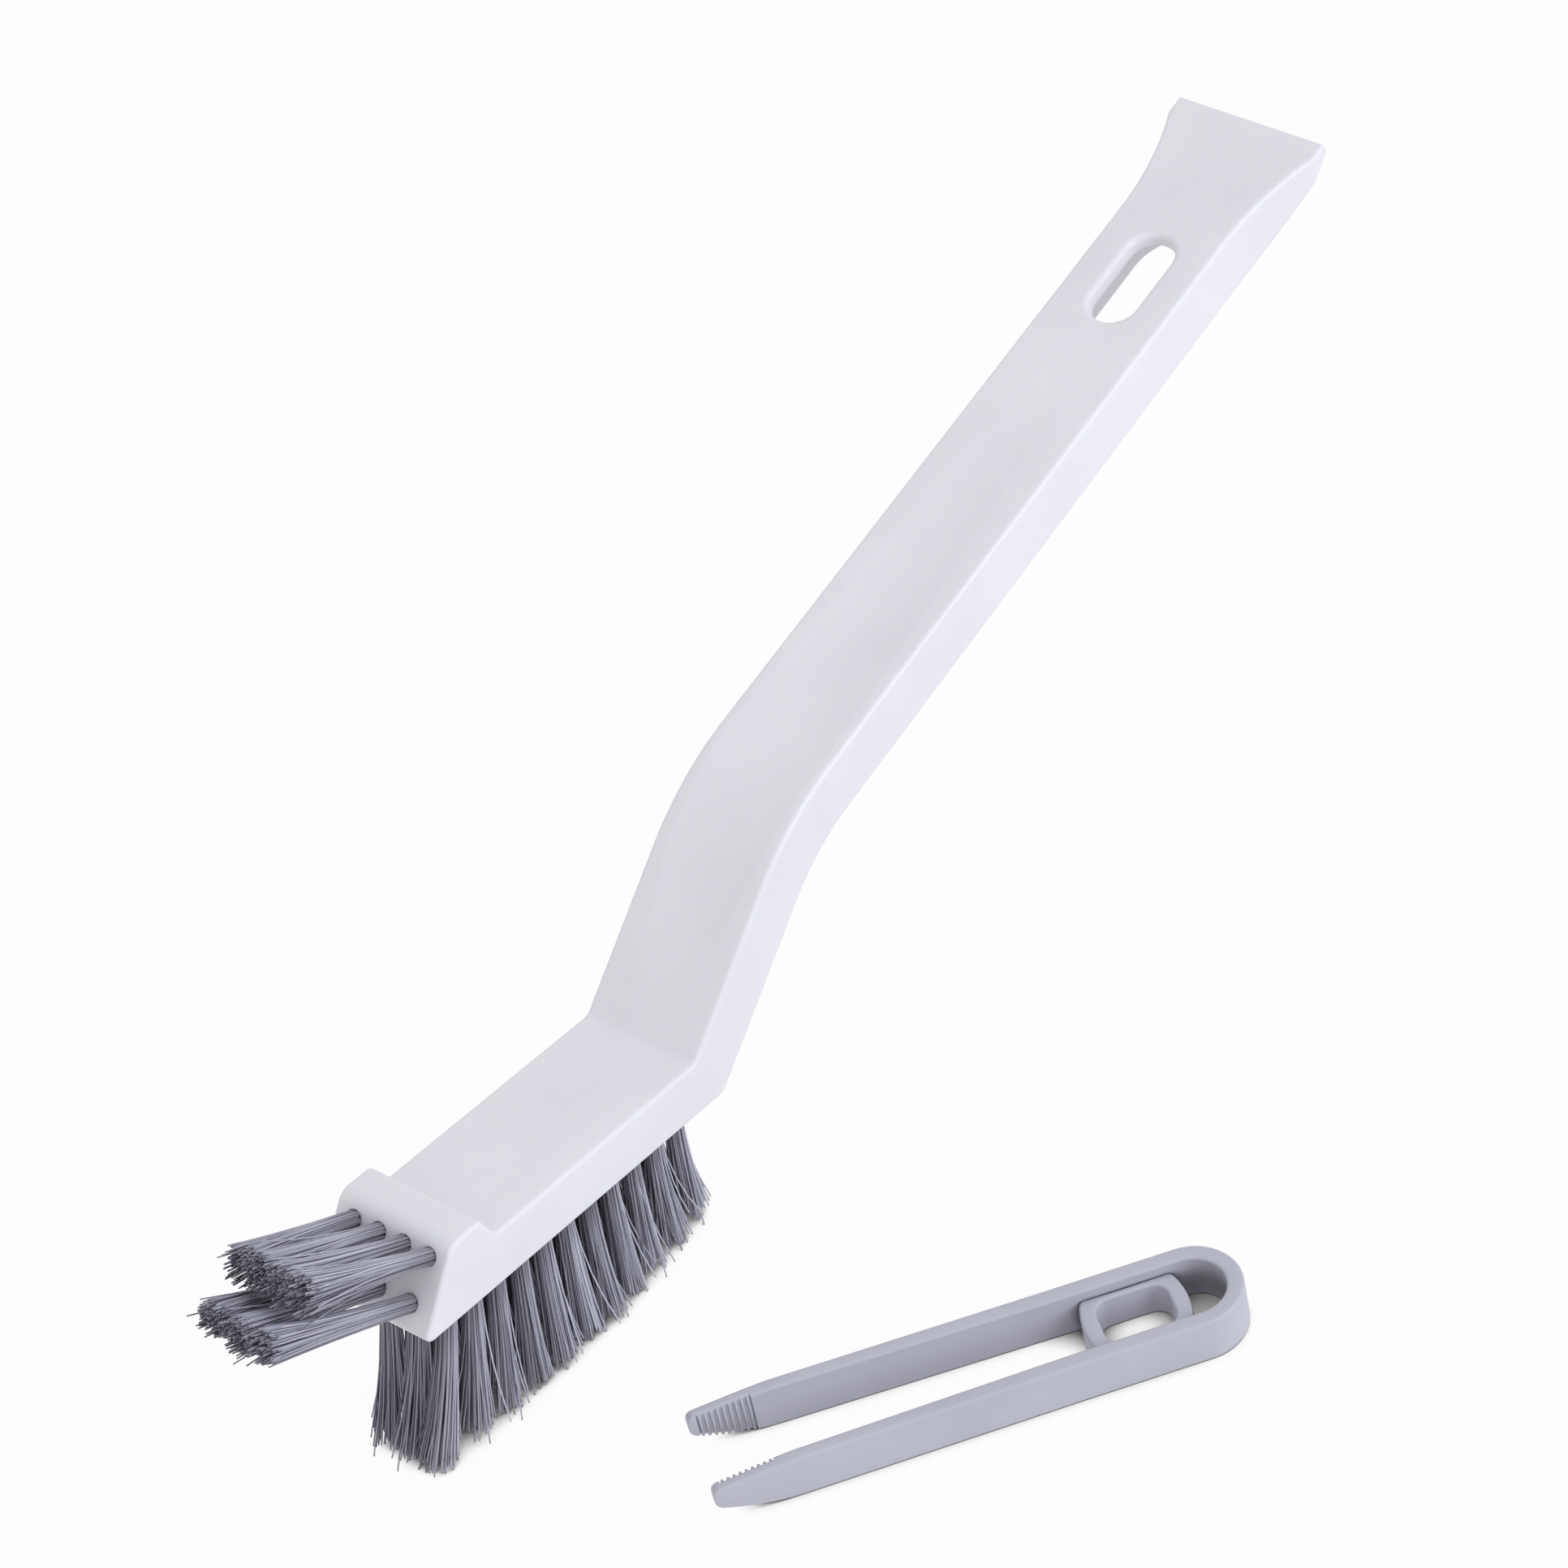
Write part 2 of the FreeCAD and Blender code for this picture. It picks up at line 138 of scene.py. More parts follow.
def bristle_nylon():
    """Grey nylon: a tone of its own for each filament, painted lighter on one side of each bundle, with painted
    shade at the bundle's foot and dark at the cut.
    """
    material = bpy.data.materials.new("bristle_nylon")
    material.use_nodes = True
    nodes = material.node_tree.nodes
    links = material.node_tree.links
    shader = nodes["Principled BSDF"]
    tone_and_painted_light = nodes.new("ShaderNodeAttribute")
    tone_and_painted_light.attribute_name = "tone_and_painted_light"
    along = nodes.new("ShaderNodeAttribute")
    along.attribute_name = "along"
    tone = nodes.new("ShaderNodeValToRGB")
    tone.color_ramp.elements[0].color = (0.1, 0.1, 0.125, 1)
    tone.color_ramp.elements[1].color = (0.66, 0.66, 0.75, 1)
    links.new(tone_and_painted_light.outputs["Fac"], tone.inputs["Fac"])
    # Painted shade: each filament is darkened towards the bundle's foot, down to 0.4 at the root, in place of
    # the shade the dense bundle casts on itself.
    foot = nodes.new("ShaderNodeMapRange")
    foot.inputs["From Max"].default_value = 0.4
    foot.inputs["To Min"].default_value = 0.4
    links.new(along.outputs["Fac"], foot.inputs["Value"])
    deep = nodes.new("ShaderNodeMix")
    deep.data_type = "RGBA"
    deep.blend_type = "MULTIPLY"
    deep.inputs["Factor"].default_value = 1.0
    links.new(tone.outputs["Color"], deep.inputs["A"])
    links.new(foot.outputs["Result"], deep.inputs["B"])
    cut = nodes.new("ShaderNodeMapRange")
    cut.inputs["From Min"].default_value = 0.97
    cut.inputs["To Max"].default_value = 0.28
    links.new(along.outputs["Fac"], cut.inputs["Value"])
    mix = nodes.new("ShaderNodeMix")
    mix.data_type = "RGBA"
    mix.inputs["B"].default_value = (0.1, 0.1, 0.12, 1)
    links.new(cut.outputs["Result"], mix.inputs["Factor"])
    links.new(deep.outputs["Result"], mix.inputs["A"])
    links.new(mix.outputs["Result"], shader.inputs["Base Color"])
    shader.inputs["Roughness"].default_value = 0.4
    return material


nylon = bristle_nylon()


def worked(tree, kind, operation, values, scale=None):
    """Output of a maths node. A value is a number, a vector or another node's output."""
    node = tree.nodes.new(kind)
    node.operation = operation
    given = list(zip(node.inputs, values))
    if scale is not None:
        given.append((node.inputs["Scale"], scale))
    for socket, value in given:
        if isinstance(value, bpy.types.NodeSocket):
            tree.links.new(value, socket)
        else:
            socket.default_value = value
    return node.outputs[0]


def number(tree, operation, *values):
    """Output of a node that works on numbers."""
    return worked(tree, "ShaderNodeMath", operation, values)


def vector(tree, operation, *values, scale=None):
    """Output of a node that works on vectors."""
    return worked(tree, "ShaderNodeVectorMath", operation, values, scale)


def new_tree(name, inputs):
    """Empty geometry tree with named inputs, and its input and output nodes."""
    tree = bpy.data.node_groups.new(name, "GeometryNodeTree")
    tree.interface.new_socket("Geometry", in_out="INPUT", socket_type="NodeSocketGeometry")
    for label, kind in inputs:
        tree.interface.new_socket(label, in_out="INPUT", socket_type=kind)
    tree.interface.new_socket("Geometry", in_out="OUTPUT", socket_type="NodeSocketGeometry")
    return tree, tree.nodes.new("NodeGroupInput").outputs, tree.nodes.new("NodeGroupOutput")


def dressed(tree, geometry, material):
    """Geometry made real and given its material."""
    real = tree.nodes.new("GeometryNodeRealizeInstances")
    tree.links.new(geometry, real.inputs["Geometry"])
    coat = tree.nodes.new("GeometryNodeSetMaterial")
    coat.inputs["Material"].default_value = material
    tree.links.new(real.outputs["Geometry"], coat.inputs["Geometry"])
    return coat.outputs["Geometry"]


def bristle_tree(name):
    """Node tree that turns tuft roots into filaments. Each root carries its aim, splay and spread."""
    tree, given, result = new_tree(name, (
        ("Filaments", "NodeSocketInt"), ("Thickness", "NodeSocketFloat"), ("Root radius", "NodeSocketFloat"),
        ("Tip radius", "NodeSocketFloat"), ("Flare", "NodeSocketFloat"), ("Bend", "NodeSocketFloat"),
        ("Sway", "NodeSocketFloat"), ("Straggle", "NodeSocketFloat"), ("Bow", "NodeSocketFloat"),
        ("Uneven", "NodeSocketFloat"), ("Painted light side", "NodeSocketVector"), ("Seed", "NodeSocketInt")))
    nodes = tree.nodes
    links = tree.links

    def chance(low, high, offset, kind="FLOAT"):
        node = nodes.new("FunctionNodeRandomValue")
        node.data_type = kind
        sockets = [s for s in node.inputs if s.enabled]
        sockets[0].default_value = low
        sockets[1].default_value = high
        links.new(number(tree, "ADD", given["Seed"], offset), node.inputs["Seed"])
        return next(s for s in node.outputs if s.enabled)

    def any_way(offset):
        return chance((-1, -1, -1), (1, 1, 1), offset, "FLOAT_VECTOR")

    def kept(geometry, label, kind, value):
        node = nodes.new("GeometryNodeStoreNamedAttribute")
        node.data_type = kind
        node.domain = "POINT"
        node.inputs["Name"].default_value = label
        links.new(geometry, node.inputs["Geometry"])
        links.new(value, node.inputs["Value"])
        return node.outputs["Geometry"]

    def read(label, kind="FLOAT_VECTOR"):
        node = nodes.new("GeometryNodeInputNamedAttribute")
        node.data_type = kind
        node.inputs["Name"].default_value = label
        return node.outputs["Attribute"]

    sway = vector(tree, "SCALE", any_way(7), scale=given["Sway"])
    roots = kept(given["Geometry"], "splay", "FLOAT_VECTOR", vector(tree, "ADD", read("splay"), sway))
    copies = nodes.new("GeometryNodeDuplicateElements")
    copies.domain = "POINT"
    links.new(roots, copies.inputs["Geometry"])
    links.new(given["Filaments"], copies.inputs["Amount"])
    which = copies.outputs["Duplicate Index"]

    axis = vector(tree, "NORMALIZE", read("aim"))
    side = vector(tree, "NORMALIZE", vector(tree, "CROSS_PRODUCT", axis, (0, 1, 0)))
    lift = vector(tree, "CROSS_PRODUCT", axis, side)
    ring = number(tree, "SQRT", number(tree, "DIVIDE", number(tree, "ADD", which, 0.5), given["Filaments"]))
    angle = number(tree, "ADD", number(tree, "MULTIPLY", which, GOLDEN_ANGLE), chance(-0.25, 0.25, 1))
    around = vector(tree, "ADD", vector(tree, "SCALE", side, scale=number(tree, "COSINE", angle)),
                    vector(tree, "SCALE", lift, scale=number(tree, "SINE", angle)))
    rare = number(tree, "ADD", number(tree, "POWER", chance(0.0, 1.0, 3), 7.0), 0.12)
    stray = vector(tree, "SCALE", any_way(2), scale=number(tree, "MULTIPLY", given["Straggle"], rare))
    short = number(tree, "SUBTRACT", 1.0, number(tree, "MULTIPLY", chance(0.0, 1.0, 4), given["Uneven"]))
    # Painted light: a filament's tone is raised on the side of its bundle that faces the pale-side direction and
    # lowered on the far side, as light and shade on the bundle.
    painted_light_facing = nodes.new("ShaderNodeVectorMath")
    painted_light_facing.operation = "DOT_PRODUCT"
    links.new(vector(tree, "SCALE", around, scale=ring), painted_light_facing.inputs[0])
    links.new(given["Painted light side"], painted_light_facing.inputs[1])
    tone_and_painted_light = number(tree, "ADD", chance(0.3, 0.7, 6), painted_light_facing.outputs["Value"])
    grown = copies.outputs["Geometry"]
    for label, kind, value in (("outward", "FLOAT_VECTOR", vector(tree, "SCALE", around, scale=ring)),
                               ("stray", "FLOAT_VECTOR", stray), ("short", "FLOAT", short),
                               ("bow", "FLOAT_VECTOR", vector(tree, "SCALE", any_way(5), scale=given["Bow"])),
                               ("tone_and_painted_light", "FLOAT", tone_and_painted_light)):
        grown = kept(grown, label, kind, value)

    line = nodes.new("GeometryNodeCurvePrimitiveLine")
    steps = nodes.new("GeometryNodeResampleCurve")
    steps.inputs["Count"].default_value = 6
    links.new(line.outputs["Curve"], steps.inputs["Curve"])
    planted = nodes.new("GeometryNodeInstanceOnPoints")
    links.new(grown, planted.inputs["Points"])
    links.new(steps.outputs["Curve"], planted.inputs["Instance"])
    lines = nodes.new("GeometryNodeRealizeInstances")
    links.new(planted.outputs["Instances"], lines.inputs["Geometry"])

    along = nodes.new("GeometryNodeSplineParameter").outputs["Factor"]
    flare = number(tree, "POWER", along, given["Flare"])
    here = nodes.new("GeometryNodeInputPosition").outputs["Position"]
    foot = vector(tree, "SUBTRACT", here, vector(tree, "SCALE", (0, 0, 1), scale=along))
    ahead = vector(tree, "SCALE", read("aim"), scale=number(tree, "MULTIPLY", read("short", "FLOAT"), along))
    wider = number(tree, "SUBTRACT", number(tree, "MULTIPLY", given["Tip radius"], read("spread", "FLOAT")),
                   given["Root radius"])
    opening = number(tree, "MULTIPLY", wider, flare)
    apart = vector(tree, "SCALE", read("outward"), scale=number(tree, "ADD", given["Root radius"], opening))
    leaning = vector(tree, "SCALE", read("splay"), scale=number(tree, "POWER", along, given["Bend"]))
    swept_out = vector(tree, "ADD", leaning, vector(tree, "SCALE", read("stray"), scale=flare))
    arch = number(tree, "MULTIPLY", number(tree, "MULTIPLY", along, number(tree, "SUBTRACT", 1.0, along)), 4.0)
    bowed = vector(tree, "SCALE", read("bow"), scale=arch)
    place = vector(tree, "ADD", vector(tree, "ADD", vector(tree, "ADD", foot, ahead), apart),
                   vector(tree, "ADD", swept_out, bowed))
    bent = nodes.new("GeometryNodeSetPosition")
    links.new(lines.outputs["Geometry"], bent.inputs["Geometry"])
    links.new(place, bent.inputs["Position"])
    section = nodes.new("GeometryNodeCurvePrimitiveCircle")
    section.inputs["Resolution"].default_value = 5
    links.new(number(tree, "DIVIDE", given["Thickness"], 2.0), section.inputs["Radius"])
    solid = nodes.new("GeometryNodeCurveToMesh")
    solid.inputs["Fill Caps"].default_value = True
    links.new(kept(bent.outputs["Geometry"], "along", "FLOAT", along), solid.inputs["Curve"])
    links.new(section.outputs["Curve"], solid.inputs["Profile Curve"])
    links.new(dressed(tree, solid.outputs["Mesh"], nylon), result.inputs["Geometry"])
    return tree


bristles = bristle_tree("bristle_filaments")


def settled(piece, tree, values):
    """Plain mesh of a piece that a node tree makes, its inputs set by their sockets' identifiers."""
    modifier = piece.modifiers.new(tree.name, "NODES")
    modifier.node_group = tree
    for socket in tree.interface.items_tree:
        if socket.in_out == "INPUT" and socket.name in values:
            modifier[socket.identifier] = values[socket.name]
    bpy.context.view_layer.update()
    mesh = bpy.data.meshes.new_from_object(piece.evaluated_get(bpy.context.evaluated_depsgraph_get()))
    piece.modifiers.clear()
    piece.data = mesh
    for polygon in mesh.polygons:
        polygon.use_smooth = True


def tuft_ends(node, axis):
    """Foot of a tuft's hole and the middle of its tip, read from its solid."""
    points = [v.co for v in frame["nodes"][node].data.vertices]
    heights = [p.dot(axis) for p in points]
    ends = []
    for end in (min(heights), max(heights)):
        near = [p for p, h in zip(points, heights) if abs(h - end) < END_SLICE]
        ends.append(Vector([(min(c) + max(c)) / 2 for c in zip(*near)]))
    return ends


def plant(name, tufts, values):
    """One piece of filaments for a list of (foot, hole direction, tip, spread) tufts."""
    roots = [foot + hole * (HOLE_DEPTH - START_IN_HOLE) for foot, hole, tip, spread in tufts]
    mesh = bpy.data.meshes.new(name)
    mesh.from_pydata(roots, [], [])
    aims = [hole * (tip - root).dot(hole) for root, (foot, hole, tip, spread) in zip(roots, tufts)]
    splays = [tuft[2] - root - aim for root, aim, tuft in zip(roots, aims, tufts)]
    for label, ways in (("aim", aims), ("splay", splays)):
        carried = mesh.attributes.new(label, "FLOAT_VECTOR", "POINT")
        carried.data.foreach_set("vector", [v for way in ways for v in way])
    carried = mesh.attributes.new("spread", "FLOAT", "POINT")
    carried.data.foreach_set("value", [tuft[3] for tuft in tufts])
    piece = bpy.data.objects.new(name, mesh)
    scene.collection.objects.link(piece)
    settled(piece, bristles, values)
    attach(piece, "brush")
    return piece


SOLE_TILT = math.radians(8.3)
sole_hole = Vector((-math.sin(SOLE_TILT), 0, -math.cos(SOLE_TILT)))
SOLE_SPREAD = {"01": 1.15, "02": 1.15}
SOLE_OUTWARD = [v * MM for v in (-1.6, -0.8, 0.0, 0.6, 1.1, 1.4, 1.5, 1.4, 1.0, 0.5, 0.0)]
SIDES = {"left": 1, "middle": 0, "right": -1}
sole_nodes = sorted(n for n in frame["nodes"] if n.startswith("sole_tuft"))
tufts = []
for node in sole_nodes:
    foot, tip = tuft_ends(node, Vector((0, 0, -1)))
    row, column = node.split("_")[2:]
    tip.y += SIDES[row] * SOLE_OUTWARD[int(column) - 1]
    tufts.append((foot, sole_hole, tip, SOLE_SPREAD.get(column, 1.0)))
# Painted light: the sole's bundles are lighter on the side the pale-side vector points to, towards the handle
# and the near side, and darker on the other.
sole_bristles = plant("sole_bristles", tufts, {
    "Filaments": 105, "Thickness": FILAMENT, "Root radius": 1.2 * MM, "Tip radius": 2.3 * MM, "Flare": 2.2,
    "Bend": 1.5, "Sway": 0.3 * MM, "Straggle": 3.0 * MM, "Bow": 0.12 * MM, "Uneven": 0.07,
    "Painted light side": (0.25, -0.2, 0.0), "Seed": 11})
for vertex in sole_bristles.data.vertices:
    vertex.co.z = max(vertex.co.z, 0.0)
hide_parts(*sole_nodes)

FRONT_RISE = {"front_tuft_upper": math.radians(25.0) + SOLE_TILT,
              "front_tuft_lower": math.radians(24.0) + SOLE_TILT}
FRONT_SAG = {"front_tuft_upper": Vector((0, 0, -1.3 * MM)), "front_tuft_lower": Vector((0, 0, -0.3 * MM))}
FRONT_SPREAD = {"front_tuft_upper": 1.25, "front_tuft_lower": 1.05}
front_nodes = sorted(n for n in frame["nodes"] if n.startswith("front_tuft"))
tufts = []
for node in front_nodes:
    row = node[:-2]
    hole = Vector((-math.cos(FRONT_RISE[row]), 0, math.sin(FRONT_RISE[row])))
    foot, tip = tuft_ends(node, hole)
    tufts.append((foot, hole, tip + FRONT_SAG[row], FRONT_SPREAD[row]))
# Painted light: the front bundles are lighter on their upper side and darker underneath.
front_bristles = plant("front_bristles", tufts, {
    "Filaments": 190, "Thickness": FILAMENT, "Root radius": 1.15 * MM, "Tip radius": 2.3 * MM, "Flare": 2.0,
    "Bend": 1.4, "Sway": 0.2 * MM, "Straggle": 1.6 * MM, "Bow": 0.12 * MM, "Uneven": 0.05,
    "Painted light side": (0.0, -0.1, 0.3), "Seed": 29})
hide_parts(*front_nodes)

# Clip
# A tweezer clip in grey polypropylene, moulded in one piece: a round bow, a pierced block across it and
# two long arms with ribbed, leaf-shaped tips. The arms flex where they leave the block.
CLIP_LENGTH = 70.9 * MM
CLIP_WIDTH = 13.4 * MM
CLIP_HEIGHT = 6.8 * MM
ARM = 2.2 * MM
EDGE = 0.4 * MM
clip_grey = moulded_plastic("clip_grey", pale=(0.55, 0.555, 0.61), deep=(0.5, 0.505, 0.56),
                            roughness=0.42, grain=1800.0, relief=0.00002)
nodes = clip_grey.node_tree.nodes
links = clip_grey.node_tree.links
tone = nodes["Color Ramp"]
# Painted shade: the clip's colour is darkened where its own walls close in around a point, in the pockets of the
# bow and the block and at the foot of its walls.
shade = nodes.new("ShaderNodeAmbientOcclusion")
shade.only_local = True
shade.inputs["Distance"].default_value = CLIP_HEIGHT
pocket_shade_range = nodes.new("ShaderNodeMapRange")
pocket_shade_range.inputs["From Min"].default_value = 0.32
pocket_shade_range.inputs["From Max"].default_value = 0.66
pocket_shade_range.inputs["To Min"].default_value = 0.1
links.new(shade.outputs["AO"], pocket_shade_range.inputs["Value"])
painted_pocket_shade = nodes.new("ShaderNodeMix")
painted_pocket_shade.data_type = "RGBA"
painted_pocket_shade.blend_type = "MULTIPLY"
painted_pocket_shade.inputs["Factor"].default_value = 1.0
links.new(tone.outputs["Color"], painted_pocket_shade.inputs["A"])
links.new(pocket_shade_range.outputs["Result"], painted_pocket_shade.inputs["B"])
links.new(painted_pocket_shade.outputs["Result"], nodes["Principled BSDF"].inputs["Base Color"])
hinges = {j["name"]: Vector(j["pos_m"]) for j in frame["joints"] if j["type"] == "hinge"}
left_hinge = hinges["left_arm_squeeze"]
right_hinge = hinges["right_arm_squeeze"]
clip_across = (left_hinge - right_hinge).normalized()
clip_along = Vector((clip_across.y, -clip_across.x, 0))
HINGE_ALONG = 47.0 * MM
clip_start = (left_hinge + right_hinge) / 2 - clip_along * HINGE_ALONG


def on_clip(along, across, height):
    """Point in the clip's own frame: along from the tips to the bow, across to the left, up."""
    return clip_start + clip_along * along + clip_across * across + Vector((0, 0, height))


def rounded_section(width, height, radius, steps=4):
    """Rounded rectangle about the origin, as (out, up) points in order."""
    points = []
    for corner, (sx, sy) in enumerate(((1, 1), (-1, 1), (-1, -1), (1, -1))):
        for step in range(steps + 1):
            angle = math.radians(90 * (corner + step / steps))
            points.append((sx * (width / 2 - radius) + radius * math.cos(angle),
                           sy * (height / 2 - radius) + radius * math.sin(angle)))
    return points


def swept(mesh, stations, closed=False):
    """Skin over rounded sections. A station is (along, across, up, out direction, section points)."""
    rings = []
    for along, across, up, (out_along, out_across), section in stations:
        rings.append([mesh.verts.new(on_clip(along + out_along * a, across + out_across * a, up + b))
                      for a, b in section])
    pairs = list(zip(rings, rings[1:])) + ([(rings[-1], rings[0])] if closed else [])
    for first, second in pairs:
        count = len(first)
        for i in range(count):
            mesh.faces.new((first[i], first[(i + 1) % count], second[(i + 1) % count], second[i]))
    if not closed:
        mesh.faces.new(rings[0])
        mesh.faces.new(rings[-1])


def clip_piece(name, mesh):
    """Object of a finished clip mesh, outward and smooth but for its sharp edges."""
    bmesh.ops.recalc_face_normals(mesh, faces=mesh.faces)
    data = bpy.data.meshes.new(name)
    mesh.to_mesh(data)
    mesh.free()
    data.materials.append(clip_grey)
    piece = bpy.data.objects.new(name, data)
    scene.collection.objects.link(piece)
    for polygon in data.polygons:
        polygon.use_smooth = True
    data.set_sharp_from_angle(angle=math.radians(50))
    return piece


SEAM = HINGE_ALONG + 2.5 * MM
arm_line = (CLIP_WIDTH - ARM) / 2
bow_centre = CLIP_LENGTH - CLIP_WIDTH / 2
STRAIGHT_STEPS = 6
BOW_STEPS = 40
limb = rounded_section(ARM, CLIP_HEIGHT, EDGE)
mesh = bmesh.new()
straights = [SEAM + (bow_centre - SEAM) * i / STRAIGHT_STEPS for i in range(STRAIGHT_STEPS)]
stations = [(along, arm_line, CLIP_HEIGHT / 2, (0, 1), limb) for along in straights]
for i in range(BOW_STEPS + 1):
    angle = math.pi * (0.5 - i / BOW_STEPS)
    out = (math.cos(angle), math.sin(angle))
    stations.append((bow_centre + arm_line * out[0], arm_line * out[1], CLIP_HEIGHT / 2, out, limb))
stations += [(along, -arm_line, CLIP_HEIGHT / 2, (0, -1), limb) for along in reversed(straights)]
swept(mesh, stations)

RING_LENGTH = 13.8 * MM
RING_END_BOW = 0.9 * MM
RING_HOLE = (9.4 * MM, 7.0 * MM)
RING_HOLE_RADIUS = 2.0 * MM
RING_TO_END = 14.0 * MM
RING_DROP = 1.6 * MM
RING_OVERLAP = 0.1 * MM
RING_STEPS = 96
ring_side = CLIP_WIDTH / 2 - ARM + RING_OVERLAP
ring_round = (ring_side ** 2 + RING_END_BOW ** 2) / (2 * RING_END_BOW)


def in_ring_hole(along, across):
    """Whether a point lies in the rounded oblong hole of the block."""
    over = [max(0.0, abs(v) - size / 2 + RING_HOLE_RADIUS) for v, size in zip((along, across), RING_HOLE)]
    return math.hypot(*over) <= RING_HOLE_RADIUS


def ring_edges(out):
    """Distances from the block's middle to its hole's edge and to its outside, in one direction."""
    near, far = 0.0, RING_LENGTH
    for halving in range(30):
        half = (near + far) / 2
        if in_ring_hole(out[0] * half, out[1] * half):
            near = half
        else:
            far = half
    back = abs(out[0]) * (RING_LENGTH / 2 - ring_round)
    end = back + math.sqrt(back ** 2 + ring_round ** 2 - (RING_LENGTH / 2 - ring_round) ** 2)
    return near, min(end, ring_side / max(abs(out[1]), 0.001))


stations = []
ring_middle = CLIP_LENGTH - RING_TO_END
ring_height = CLIP_HEIGHT - RING_DROP
for i in range(RING_STEPS):
    angle = math.tau * i / RING_STEPS
    out = (math.cos(angle), math.sin(angle))
    inside, outside = ring_edges(out)
    middle = (inside + outside) / 2
    stations.append((ring_middle + middle * out[0], middle * out[1], ring_height / 2, out,
                     rounded_section(outside - inside, ring_height, EDGE)))
swept(mesh, stations, closed=True)
clip_bow = clip_piece("clip_bow_moulding", mesh)
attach(clip_bow, "clip")
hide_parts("clip_bow")

ARM_SPREAD = 0.6 * MM
TIP_THICKNESS = 1.7 * MM
TAPER = 11.0 * MM
TOP_TAPER = 1.2 * MM
TOP_CURVE = 1.25
BOTTOM_TAPER = 2.6 * MM
BOTTOM_CURVE = 1.9
RIB_COUNT = 9
RIB_SPACING = 0.8 * MM
RIB_WIDTH = 0.44 * MM
RIB_DEPTH = 0.35 * MM
PAD_START = 1.2 * MM
PAD_END = PAD_START + RIB_COUNT * RIB_SPACING
TIP_ROUND = 0.9 * MM
TIP_CAP_SHARES = (0.1, 0.3, 0.6)
TIP_CAP_DEPTH = 0.1
ARM_STEPS = 44
TIP_STEPS = 10


def arm_section(along, sunk):
    """Middle line, thickness, middle height and height of an arm at a distance from its tip."""
    share = max(0.0, 1 - along / HINGE_ALONG)
    slope = max(0.0, 1 - along / TAPER)
    top = CLIP_HEIGHT - TOP_TAPER * slope ** TOP_CURVE
    bottom = BOTTOM_TAPER * slope ** BOTTOM_CURVE
    thick = ARM + (TIP_THICKNESS - ARM) * share - sunk
    short = max(0.0, TIP_ROUND - along)
    rounding = TIP_ROUND - math.sqrt(TIP_ROUND ** 2 - short ** 2)
    return arm_line + ARM_SPREAD * share + sunk / 2, thick, (top + bottom) / 2, top - bottom - 2 * rounding


def rib_tree(name):
    """Node tree that sets upright round ribs along an arm's tip, each as tall as the arm is there."""
    tree, given, result = new_tree(name, (
        ("Count", "NodeSocketInt"), ("Spacing", "NodeSocketFloat"), ("First", "NodeSocketFloat"),
        ("Width", "NodeSocketFloat"), ("Depth", "NodeSocketFloat"), ("Height", "NodeSocketFloat"),
        ("Inset", "NodeSocketFloat"), ("Taper", "NodeSocketFloat"), ("Top taper", "NodeSocketFloat"),
        ("Top curve", "NodeSocketFloat"), ("Bottom taper", "NodeSocketFloat"),
        ("Bottom curve", "NodeSocketFloat")))
    nodes = tree.nodes
    links = tree.links

    def joined(**values):
        node = nodes.new("ShaderNodeCombineXYZ")
        for axis, value in values.items():
            links.new(value, node.inputs[axis])
        return node.outputs["Vector"]

    row = nodes.new("GeometryNodeMeshLine")
    links.new(given["Count"], row.inputs["Count"])
    links.new(joined(X=given["First"]), row.inputs["Start Location"])
    links.new(joined(X=given["Spacing"]), row.inputs["Offset"])
    here = nodes.new("ShaderNodeSeparateXYZ")
    links.new(nodes.new("GeometryNodeInputPosition").outputs["Position"], here.inputs["Vector"])
    slope = number(tree, "SUBTRACT", 1.0, number(tree, "DIVIDE", here.outputs["X"], given["Taper"]))
    drop = number(tree, "MULTIPLY", number(tree, "POWER", slope, given["Top curve"]), given["Top taper"])
    top = number(tree, "SUBTRACT", number(tree, "SUBTRACT", given["Height"], given["Inset"]), drop)
    rise = number(tree, "MULTIPLY", number(tree, "POWER", slope, given["Bottom curve"]), given["Bottom taper"])
    bottom = number(tree, "ADD", given["Inset"], rise)
    lifted = nodes.new("GeometryNodeSetPosition")
    links.new(row.outputs["Mesh"], lifted.inputs["Geometry"])
    middle = number(tree, "DIVIDE", number(tree, "ADD", top, bottom), 2.0)
    links.new(joined(Z=middle), lifted.inputs["Offset"])
    rib = nodes.new("GeometryNodeMeshCylinder")
    rib.inputs["Vertices"].default_value = 10
    rib.inputs["Radius"].default_value = 0.5
    rib.inputs["Depth"].default_value = 1.0
    ribs = nodes.new("GeometryNodeInstanceOnPoints")
    links.new(lifted.outputs["Geometry"], ribs.inputs["Points"])
    links.new(rib.outputs["Mesh"], ribs.inputs["Instance"])
    links.new(joined(X=given["Width"], Y=given["Depth"], Z=number(tree, "SUBTRACT", top, bottom)),
              ribs.inputs["Scale"])
    links.new(dressed(tree, ribs.outputs["Instances"], clip_grey), result.inputs["Geometry"])
    return tree


tip_ribs = rib_tree("tip_ribs")

